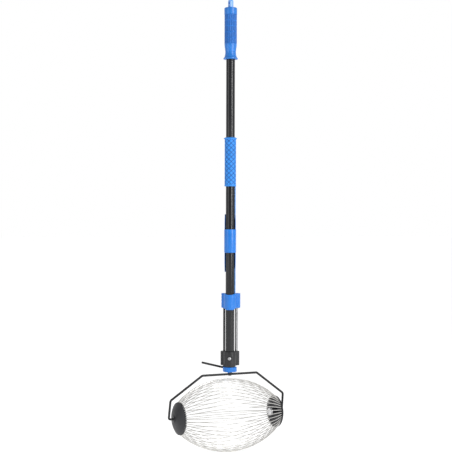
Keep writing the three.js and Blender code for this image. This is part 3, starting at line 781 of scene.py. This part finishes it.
def clamp_mesh():
    bottom, top = span("clamp")
    running_bore = POLE_RADIUS + RUNNING_GAP
    guide_bore = GUIDE_ROD_RADIUS + RUNNING_GAP
    scoop_radius, drop = CLAMP_SCOOP.values()
    scoop_middle = Vector((0, -CLAMP_RADIUS, top - drop + scoop_radius))
    aside = Vector((1.2 * CLAMP_RADIUS, 0, 0))
    mesh = cut(
        lobed_body(CLAMP_RADIUS, *CLAMP_LOBES, bottom, top, CLAMP_LOBE_LIFT, CLAMP_EDGE),
        drill(running_bore, bottom - OVER, top + OVER, sides=96),
        drill(SHELL_BORE, top - TONGUE - GAP, top + OVER, sides=96),
        rod(scoop_radius, scoop_middle - aside, scoop_middle + aside, 64),
        drill(guide_bore, bottom - OVER, top + OVER, LOBE_SIDE, LOBE_BACK, 48),
        funnel(guide_bore, 0.8 * MM, top, LOBE_SIDE, LOBE_BACK),
        drill(PUSH_ROD_RADIUS + GAP, bottom - OVER, span("push_rod")[1] + GAP, -LOBE_SIDE, LOBE_BACK, 48),
        *lobe_grooves(top),
    )
    return placed(mesh, HEAD)


def lobe_grooves(top):
    """Three short finger grooves on the outer side of the left lobe."""
    radius, depth, first, spacing, reach = CLAMP_GROOVES.values()
    outer = -LOBE_SIDE - CLAMP_LOBES[1] - (radius - depth)
    along = Vector((0, reach, 0))
    middles = [Vector((outer, LOBE_BACK, top - first - i * spacing)) for i in range(3)]
    return [rod(radius, middle - along, middle + along, 24) for middle in middles]


BRACKET_RADIUS = 17 * MM
BRACKET_LOBES = (8.1 * MM, 9.6 * MM)  # right and left
BRACKET_LOBE_LIFT = 3.2 * MM
BRACKET_EDGE = 0.8 * MM
BOLT_Z = sum(span("head_bolt")) / 2
BOLT_RECESS = {"radius": 6.2 * MM, "depth": 1.1 * MM}
BOLT_SHANK = 2.5 * MM
BOLT_HEAD = {"radius": 4.5 * MM, "depth": 3.2 * MM}
BOLT_SOCKET = 1.9 * MM
BOLT_END = 23 * MM
BOLT_WASHER = {"radius": 5 * MM, "thickness": 1 * MM}
BOLT_NUT = {"across_flats": 8 * MM, "back": 22 * MM}


def bracket_mesh():
    bottom, top = span("bracket")
    recess_radius, depth = BOLT_RECESS.values()
    front = Vector((0, -1.2 * BRACKET_RADIUS, BOLT_Z))
    back = Vector((0, 1.2 * BRACKET_RADIUS, BOLT_Z))
    floor = Vector((0, depth - BRACKET_RADIUS, BOLT_Z))
    guide_seat = span("guide_rod")[0] - GAP
    mesh = cut(
        lobed_body(BRACKET_RADIUS, *BRACKET_LOBES, bottom, top, BRACKET_LOBE_LIFT, BRACKET_EDGE),
        drill(POLE_RADIUS + GAP, bottom - OVER, top + OVER, sides=96),
        drill(PUSH_ROD_RADIUS + RUNNING_GAP, bottom - OVER, top + OVER, -LOBE_SIDE, LOBE_BACK, 48),
        drill(GUIDE_ROD_RADIUS + GAP, guide_seat, top + OVER, LOBE_SIDE, LOBE_BACK, 48),
        rod(recess_radius, front, floor, 64),
        rod(BOLT_SHANK + GAP, front, back, 32),
    )
    return placed(mesh, HEAD)


def across_head(mesh):
    """Lays a piece made along Z on the bolt's axis, its own -Z to the front of the head."""
    lay = HEAD @ Matrix.Translation((0, 0, BOLT_Z)) @ Matrix.Rotation(-math.pi / 2, 4, "X")
    return placed(mesh, lay)


def pan_head(radius, depth, foot, shank, end, socket):
    """A pan-headed screw along Z: its head stands below `foot`, its shank runs on to `end`."""
    profile = [
        (CORE, foot - depth), (radius * 0.62, foot - depth * 0.97), (radius * 0.9, foot - depth * 0.7),
        (radius, foot - depth * 0.35), (radius, foot), (shank, foot), (shank, end), (CORE, end),
    ]
    mesh = turned(profile, edge=0.3 * MM, sides=64, looped=False)
    start = foot - depth * 1.3
    recess = skin([circle(socket, start, 6), circle(socket * 0.92, foot - depth * 0.35, 6)])
    return cut(mesh, recess)


def bolt_mesh():
    radius, depth = BOLT_HEAD.values()
    return across_head(pan_head(radius, depth, -BRACKET_RADIUS - GAP, BOLT_SHANK, BOLT_END, BOLT_SOCKET))


def bolt_washer_mesh():
    radius, thickness = BOLT_WASHER.values()
    front = BRACKET_RADIUS + GAP
    return across_head(tube(BOLT_SHANK + GAP, radius, front, front + thickness, 0.2 * MM, 48))


def bolt_nut_mesh():
    front = BRACKET_RADIUS + BOLT_WASHER["thickness"] + 2 * GAP
    nut = hexagon_nut(BOLT_NUT["across_flats"], front, BOLT_NUT["back"], BOLT_SHANK + 0.2 * MM)
    return across_head(nut)


NECK_RADII = {"boss_tip": 4.8 * MM, "boss": 6.2 * MM, "plug": 10.2 * MM}
NECK_FLANGE = {"below_bracket": 0.4 * MM, "thickness": 12.8 * MM}


def neck_mesh():
    """The boss round the bail's top, the thick flange and the plug inside the pole."""
    bottom, top = span("neck")
    flange = (span("neck", 0)[1] - span("neck", 0)[0]) / 2
    flange_top = span("bracket")[0] - NECK_FLANGE["below_bracket"]
    flange_bottom = flange_top - NECK_FLANGE["thickness"]
    boss_tip, boss, plug = NECK_RADII.values()
    body = turned([
        (2 * CORE, bottom), (boss_tip, bottom, 1.6 * MM), (boss, flange_bottom, 0.8 * MM),
        (flange, flange_bottom, 2.2 * MM), (flange, flange_top, 1 * MM), (plug, flange_top),
        (plug, top, 1 * MM), (2 * CORE, top),
    ], looped=False)
    reach = Vector((1.5 * boss, 0, 0))
    middle = Vector((0, 0, BAIL_TOP_Z))
    return placed(cut(body, rod(BAIL_RADIUS + GAP, middle - reach, middle + reach)), UPRIGHT)


# -------------------- sliding gear behind the pole

SPINE_BORE = 12.4 * MM
SPINE_RADIUS = 15.1 * MM
TONGUE_RADIUS = 13.5 * MM
SPINE_START = math.radians(-5)
SPINE_END = math.radians(100)
SHELL_START = math.radians(-10)
SHELL_END = math.radians(190)


def curved_plate(inner, outer, start, end, bottom, top, corner, edge=0.5 * MM, thinning=0.0, columns=64):
    """Part of a sleeve with elliptical corners (width, length) and eased edges.

    Its outside comes in by `thinning` over the length of a corner, towards both ends.
    """
    width = (end - start) * outer
    corner_width, corner_length = corner
    sections = []
    for column in range(columns + 1):
        share = 0.5 - 0.5 * math.cos(math.pi * column / columns)
        angle = start + (end - start) * share
        to_side = min(share, 1 - share) * width
        lean = 1 - min(corner_width, to_side) / corner_width
        inset = corner_length * (1 - math.sqrt(max(0.0, 1 - lean ** 2)))
        low, high = bottom + inset, top - inset
        squeeze = 0.0 if to_side > edge else edge - math.sqrt(max(0.0, edge ** 2 - (edge - to_side) ** 2))
        near, far = inner + squeeze, outer - squeeze
        end_far = max(near + 2 * edge, far - thinning * (1 - inset / corner_length))
        lower = [
            (far, max(low + edge, bottom + corner_length)), (end_far, low + edge),
            (end_far - edge * 0.3, low + edge * 0.3), (end_far - edge, low), (near + edge, low),
            (near + edge * 0.3, low + edge * 0.3), (near, low + edge),
        ]
        upper = [(radius, low + high - z) for radius, z in reversed(lower)]
        profile = lower + upper
        cosine, sine = math.cos(angle), math.sin(angle)
        sections.append([Vector((radius * cosine, radius * sine, z)) for radius, z in profile])
    return skin(sections)


def spine_bar_mesh(node):
    """The bar and the thinner tongues at its ends, which its neighbours cover."""
    low, high = span(node)
    bar = curved_plate(SPINE_BORE, SPINE_RADIUS, SPINE_START, SPINE_END, low + TONGUE + GAP,
                       high - TONGUE - GAP, (0.6 * MM, 0.6 * MM))
    tongues = curved_plate(SPINE_BORE, TONGUE_RADIUS, SPINE_START + 0.02, SPINE_END - 0.02, low, high,
                           (2 * MM, 2 * MM), 0.3 * MM)
    return placed(joined(bar, tongues), HEAD)


COUPLER_TAPER = 25 * MM
COUPLER_RADIUS = 15.2 * MM
COUPLER_BAND = {"inset": 52 * MM, "length": 63 * MM, "radius": 16.1 * MM}


def coupler_mesh():
    """A half shell with boat-shaped ends, ringed by the plain front band."""
    low, high = span("coupler")
    bore = POLE_RADIUS + RUNNING_GAP
    shell = curved_plate(SHELL_BORE, COUPLER_RADIUS, SHELL_START, SHELL_END, low, high,
                         (5 * MM, COUPLER_TAPER), 0.4 * MM, thinning=0.5 * MM, columns=96)
    inset, length, radius = COUPLER_BAND.values()
    band_low = low + inset
    band_high = band_low + length
    band = [(bore, band_low), (radius, band_low, 1.2 * MM), (radius, band_high, 1.2 * MM), (bore, band_high)]
    return placed(joined(shell, turned(band)), HEAD)


def grip_rows(low, high, spacing):
    count = math.ceil((high - low) / spacing)
    return [low + (high - low) * row / count for row in range(count + 1)]


GRIP_LOW, GRIP_HIGH = span("mid_grip")
BAND_TOP = GRIP_LOW + 4.5 * MM
RIM_FOOT = GRIP_HIGH - 4.7 * MM
RIM_TOP = GRIP_HIGH - 2.2 * MM
GRIP_RADII = {"grip": 15.4 * MM, "band": 15.8 * MM, "rim": 17.7 * MM, "cone": 13.3 * MM}
KNURL_FADE = 1.5 * MM
KNURL = {"depth": 0.8 * MM, "around": 7, "pitch": 12.4 * MM}


def mid_grip_mesh():
    """A diamond-knurled sleeve, with a plain band at its foot and a thin flared rim and a cone at its top."""
    grip, smooth, flare, cone = GRIP_RADII.values()
    depth, around, pitch = KNURL.values()
    ease = 0.8 * MM

    def radius_at(height, angle):
        if height < BAND_TOP:
            edge = min(height - GRIP_LOW, BAND_TOP - height)
            return smooth - 0.5 * MM * max(0.0, 1 - edge / ease) ** 2
        if height > RIM_TOP:
            return flare + (cone - flare) * ((height - RIM_TOP) / (GRIP_HIGH - RIM_TOP)) ** 0.8
        if height > RIM_FOOT:
            return flare - 0.8 * MM * max(0.0, 1 - (height - RIM_FOOT) / ease) ** 2
        fade = min(1.0, min(height - BAND_TOP, RIM_FOOT - height) / KNURL_FADE)
        across = around * angle / (2 * math.pi)
        along = (height - BAND_TOP) / pitch
        groove = min(saw(across + along), saw(across - along))
        return grip - depth * (1 - eased(3 * groove)) * fade

    hair = 0.01 * MM
    breaks = {BAND_TOP - hair, BAND_TOP + hair, RIM_FOOT - hair, RIM_FOOT + hair, RIM_TOP}
    heights = sorted(set(grip_rows(GRIP_LOW, GRIP_HIGH, 0.6 * MM)) | breaks)
    return placed(grooved(heights, radius_at, around * 28, POLE_RADIUS + RUNNING_GAP), HEAD)


# -------------------- pole and handle

TUBE_WALL = 1.2 * MM


def tube_mesh(node):
    low, high = span(node)
    return placed(tube(POLE_RADIUS - TUBE_WALL, POLE_RADIUS, low, high, 0.4 * MM), UPRIGHT)


HANDLE_LOW, HANDLE_HIGH = span("top_handle")
FLARE_FOOT = HANDLE_LOW + 3.5 * MM
FLARE_TOP = HANDLE_LOW + 19 * MM
PADS_LOW = HANDLE_LOW + 41.2 * MM
HANDLE_ROWS = 5
HANDLE_RIBS = 20
HANDLE_RADII = {"rim": 19.5 * MM, "flare": 17.8 * MM, "waist": 14.4 * MM, "grip": 16.7 * MM}
HANDLE_GROOVE = {"half_width": 0.5 * MM, "depth": 0.7 * MM}
HANDLE_RIB_DEPTH = 1.1 * MM


def to_groove(height):
    """Distance along the handle to the nearest groove between two rows of pads."""
    row = (HANDLE_HIGH - PADS_LOW) / HANDLE_ROWS
    along = (height - PADS_LOW) % row
    return min(along, row - along)


def pad_depth(height, angle):
    """How far the surface lies under the handle's envelope: grooves between rows, and ribs down each pad."""
    distance = to_groove(height)
    groove = 1 - eased(distance / HANDLE_GROOVE["half_width"])
    rib = (1 - saw(HANDLE_RIBS * angle / (2 * math.pi))) ** 2
    rib *= eased(distance / (2 * HANDLE_GROOVE["half_width"]) - 1)
    return HANDLE_GROOVE["depth"] * groove + HANDLE_RIB_DEPTH * rib


def handle_mesh():
    rim, flare, waist, grip = HANDLE_RADII.values()

    def radius_at(height, angle):
        if height <= FLARE_FOOT:
            edge = min(height - HANDLE_LOW, FLARE_FOOT - height)
            return rim - 0.8 * MM * max(0.0, 1 - edge / (1.2 * MM)) ** 2
        if height <= FLARE_TOP:
            share = (height - FLARE_FOOT) / (FLARE_TOP - FLARE_FOOT)
            return waist + (flare - waist) * (1 - share) ** 2
        if height <= PADS_LOW:
            share = (height - FLARE_TOP) / (PADS_LOW - FLARE_TOP)
            return waist + (grip - waist) * eased(share)
        return grip - pad_depth(height, angle)

    heights = sorted(set(grip_rows(HANDLE_LOW, HANDLE_HIGH, 0.5 * MM)) | {FLARE_FOOT + 0.02 * MM})
    return placed(grooved(heights, radius_at, HANDLE_RIBS * 10, POLE_RADIUS + GAP), HEAD)


def paint_faces(piece, material, chosen):
    """Adds a material on the faces that `chosen` picks by height and distance from the pole's axis."""
    piece.data.materials.append(MATERIALS[material])
    for face in piece.data.polygons:
        if chosen(face.center.z, math.hypot(face.center.x, face.center.y - POLE_Y)):
            face.material_index = len(piece.data.materials) - 1


def paint_handle(piece):
    """The ribbed pads are a deeper blue than the smooth parts, and the valleys of their ribs get a darker blue:
    painted shade.
    """
    valley = HANDLE_RADII["grip"] - 0.4 * HANDLE_RIB_DEPTH
    paint_faces(piece, "rib_painted_shade", lambda height, radius: radius < valley)
    paint_faces(piece, "soft_blue", lambda height, radius: height < PADS_LOW or
                to_groove(height) < HANDLE_GROOVE["half_width"])


def paint_mid_grip(piece):
    """The knurl's valleys get a darker blue than its diamonds: painted shade in the valleys."""
    valley = GRIP_RADII["grip"] - 0.45 * KNURL["depth"]
    paint_faces(piece, "knurl_painted_shade", lambda height, radius: BAND_TOP < height < RIM_FOOT and radius < valley)


END_CAP_CROWN = HANDLE_HIGH + 18.6 * MM
END_CAP = {"radius": 17.2 * MM, "chamfer": 1.5 * MM}
TAB = {"half_width": 7 * MM, "half_depth": 5 * MM, "hole_radius": 3.6 * MM, "edge": 1.2 * MM, "root": 3 * MM}
HANG_HOLE = next(row for row in RECORD["mounts"] if row["name"] == "hang_hole")


def end_cap_mesh():
    """The plug and the plain top section, with the flat hanging tab that stands on it."""
    low, top = span("handle_end_cap")
    seat = HANDLE_HIGH + GAP
    crown = END_CAP_CROWN
    radius, chamfer = END_CAP.values()
    plug = POLE_RADIUS - TUBE_WALL - GAP
    body = turned([
        (2 * CORE, low), (plug, low), (plug, seat), (radius, seat, 0.8 * MM),
        (radius, crown - chamfer, 1 * MM), (radius - chamfer, crown, 1 * MM), (2 * CORE, crown),
    ], looped=False, steps=6)
    half_width, half_depth, hole_radius, edge, root = TAB.values()
    outline = [Vector((-half_width, crown - root)), Vector((half_width, crown - root))]
    outline += arc((0, top - half_width), half_width, 0, math.pi, 32)
    hole = arc((0, HANG_HOLE["pos_m"][2]), hole_radius, 0, 2 * math.pi * 31 / 32, 31)
    tab = slab([outline, hole], -half_depth, half_depth, edge)
    stand = Matrix.Rotation(math.pi / 2, 4, "Z") @ Matrix.Rotation(math.pi / 2, 4, "X")
    return placed(joined(body, placed(tab, stand)), UPRIGHT)


# -------------------- screws of the spine bars

LINK_SCREW = {"head_radius": 2.6 * MM, "head_depth": 1 * MM, "shank": 1.4 * MM, "length": 3.2 * MM}
LINK_SCREW_SOCKET = 1.1 * MM


def link_screw_mesh(node):
    """A small pan-headed screw that stands radially in the spine bar's tongue."""
    head_radius, head_depth, shank, length = LINK_SCREW.values()
    low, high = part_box(node)
    centre = (low + high) / 2
    from_pole = Vector((centre.x, centre.y - POLE_Y, 0))
    outward = from_pole.normalized()
    reach = (high - low).to_2d().length / 2
    head_top = from_pole.length + reach * 0.86
    mesh = pan_head(head_radius, head_depth, 0, shank, length, LINK_SCREW_SOCKET)
    turn = (-outward).to_track_quat("Z", "Y").to_matrix().to_4x4()
    start = Vector((0, POLE_Y, centre.z)) + outward * (head_top - head_depth)
    return placed(mesh, Matrix.Translation(start) @ turn)


# -------------------- assembly


def add_root_pieces():
    rows = [
        ("bail", bail_mesh, "dark_wire", "dark_wire"),
        ("neck", neck_mesh, "blue", "blue_plastic"),
        ("bracket", bracket_mesh, "bracket", "bracket_plastic"),
        ("head_bolt", bolt_mesh, "bolt", "fastener_steel"),
        ("head_bolt_washer", bolt_washer_mesh, "fastener", "fastener_steel"),
        ("head_bolt_nut", bolt_nut_mesh, "fastener", "fastener_steel"),
        ("guide_rod", guide_rod_mesh, "guide_rod", "guide_rod_steel"),
        ("pole_lower_tube", lambda: tube_mesh("pole_lower_tube"), "pole", "pole_paint"),
        ("pole_upper_tube", lambda: tube_mesh("pole_upper_tube"), "pole", "pole_paint"),
        ("top_handle", handle_mesh, "blue_pads", "grip_plastic"),
        ("handle_end_cap", end_cap_mesh, "soft_blue", "blue_plastic"),
    ]
    pieces = {node: add_piece(node, make(), material, "root", slot) for node, make, material, slot in rows}
    # The neck below the top of the bail's wire takes the dark bracket plastic: painted shade round the wire.
    paint_faces(pieces["neck"], "bracket", lambda height, radius: height < BAIL_TOP_Z + BAIL_RADIUS)
    paint_handle(pieces["top_handle"])
    # The hanging tab is a paler blue than the cap: painted highlight.
    tab_root = END_CAP_CROWN + 0.5 * MM
    paint_faces(pieces["handle_end_cap"], "painted_highlight_blue", lambda height, radius: height > tab_root)


def add_slide_pieces():
    body = "release_slide"
    add_piece("push_rod", push_rod_mesh(), "dark_wire", body, "dark_wire")
    add_piece("clamp", clamp_mesh(), "blue", body, "blue_plastic")
    add_piece("coupler", coupler_mesh(), "blue", body, "blue_plastic")
    # The spine bars are a paler blue than the other blue parts: painted highlight on their lit edge.
    for node in ("lower_spine_bar", "upper_spine_bar"):
        add_piece(node, spine_bar_mesh(node), "painted_highlight_blue", body, "blue_plastic")
    paint_mid_grip(add_piece("mid_grip", mid_grip_mesh(), "blue_grip", body, "grip_plastic"))
    for node in RECORD["behaviour"]["bodies"][body]:
        if node.startswith("link_screw_"):
            add_piece(node, link_screw_mesh(node), "fastener", body, "fastener_steel")


def dress_hidden_nodes():
    """The joint insert stays as the CAD has it, inside the pole."""
    insert = frame["nodes"]["pole_joint_insert"]
    insert.data.materials.clear()
    insert.data.materials.append(MATERIALS["insert"])


# -------------------- stage, lights and camera

EYE_TURN = math.radians(-27)  # the camera looks along +Y turned by this about Z
EYE_DISTANCE = 3.16
EYE_HEIGHT = 0.6114
EYE_SHIFT = 0.01127  # the pole stands this far to the right of the picture's middle
EYE_ROLL = math.radians(0.15)
EYE_LENS = 93.2
FORWARD = Vector((-math.sin(EYE_TURN), math.cos(EYE_TURN), 0))
RIGHT = Vector((math.cos(EYE_TURN), math.sin(EYE_TURN), 0))
UP = Vector((0, 0, 1))
LIGHT_TARGET = 0.6 * UP
ROOM_FRONT = 0.3  # brightness of the room behind the camera
ROOM_BACK = 0.9  # and behind the tool
WHITE = (1, 1, 1, 1)


def add_floor():
    bm = bmesh.new()
    corners = [(-60, -60), (60, -60), (60, 60), (-60, 60)]
    bm.faces.new([bm.verts.new((x, y, CAD_BOX[0].z)) for x, y in corners])
    floor = add_object("floor", to_mesh("floor", bm))
    made = Nodes(bpy.data.materials.new("floor_paper"))
    tone = made.ramp(made.noise(3), [(0.3, (0.9, 0.9, 0.9)), (0.7, (0.92, 0.92, 0.92))])
    made.link(tone, made.shader.inputs["Base Color"])
    fill(made.shader, Roughness=0.9, Specular_IOR_Level=0.1, Emission_Color=WHITE, Emission_Strength=0.45)
    floor.data.materials.append(made.owner)


def add_light(name, right, near, height, size, power):
    """A rectangular light, placed by how far it is to the right, towards the eye and up."""
    place = right * RIGHT - near * FORWARD + height * UP
    light = bpy.data.lights.new(name, "AREA")
    light.shape = "RECTANGLE"
    light.size, light.size_y = size
    light.energy = power
    lamp = add_object(name, light)
    lamp.location = place
    lamp.rotation_euler = (LIGHT_TARGET - place).to_track_quat("-Z", "Y").to_euler()


def add_room():
    """A white room that is dimmer on the camera's side, so that bright metal has something dark to mirror."""
    bpy.context.scene.world = bpy.data.worlds.new("studio")
    made = Nodes(bpy.context.scene.world)
    facing = made.add("ShaderNodeVectorMath")
    facing.operation = "DOT_PRODUCT"
    facing.inputs[1].default_value = FORWARD
    made.link(made.place["Generated"], facing.inputs[0])
    falloff = made.add("ShaderNodeMapRange", From_Min=-0.9, From_Max=0.9, To_Min=ROOM_FRONT, To_Max=ROOM_BACK)
    made.link(facing.outputs["Value"], falloff.inputs["Value"])
    room = made.tree.nodes["Background"]
    room.inputs["Color"].default_value = WHITE
    made.link(falloff.outputs["Result"], room.inputs["Strength"])
    backdrop = made.add("ShaderNodeBackground", Color=WHITE)
    mix = made.add("ShaderNodeMixShader")
    made.link(made.add("ShaderNodeLightPath").outputs["Is Camera Ray"], mix.inputs["Fac"])
    made.link(room.outputs["Background"], mix.inputs[1])
    made.link(backdrop.outputs["Background"], mix.inputs[2])
    made.link(mix.outputs["Shader"], made.tree.nodes["World Output"].inputs["Surface"])


def add_lights():
    add_light("key", 1.6, 1.6, 1.3, (0.45, 1.9), 36)
    add_light("strip", 1.06, 2.0, 1.22, (0.16, 0.42), 2.2)
    add_light("fill", -1.9, 1.4, 1.1, (0.9, 1.6), 10)


def add_camera():
    camera = add_object("camera", bpy.data.cameras.new("camera"))
    camera.location = Vector((0, POLE_Y, EYE_HEIGHT)) - FORWARD * EYE_DISTANCE - RIGHT * EYE_SHIFT
    roll = Quaternion((0, 0, 1), EYE_ROLL)
    camera.rotation_euler = (FORWARD.to_track_quat("-Z", "Y") @ roll).to_euler()
    camera.data.sensor_width = 36
    camera.data.lens = EYE_LENS
    bpy.context.scene.camera = camera


bpy.context.scene.view_settings.view_transform = "Standard"
add_camera()
add_room()
add_lights()
add_floor()
add_wires()
add_cage_end("left", -1)
add_cage_end("right", 1)
add_root_pieces()
add_slide_pieces()
dress_hidden_nodes()
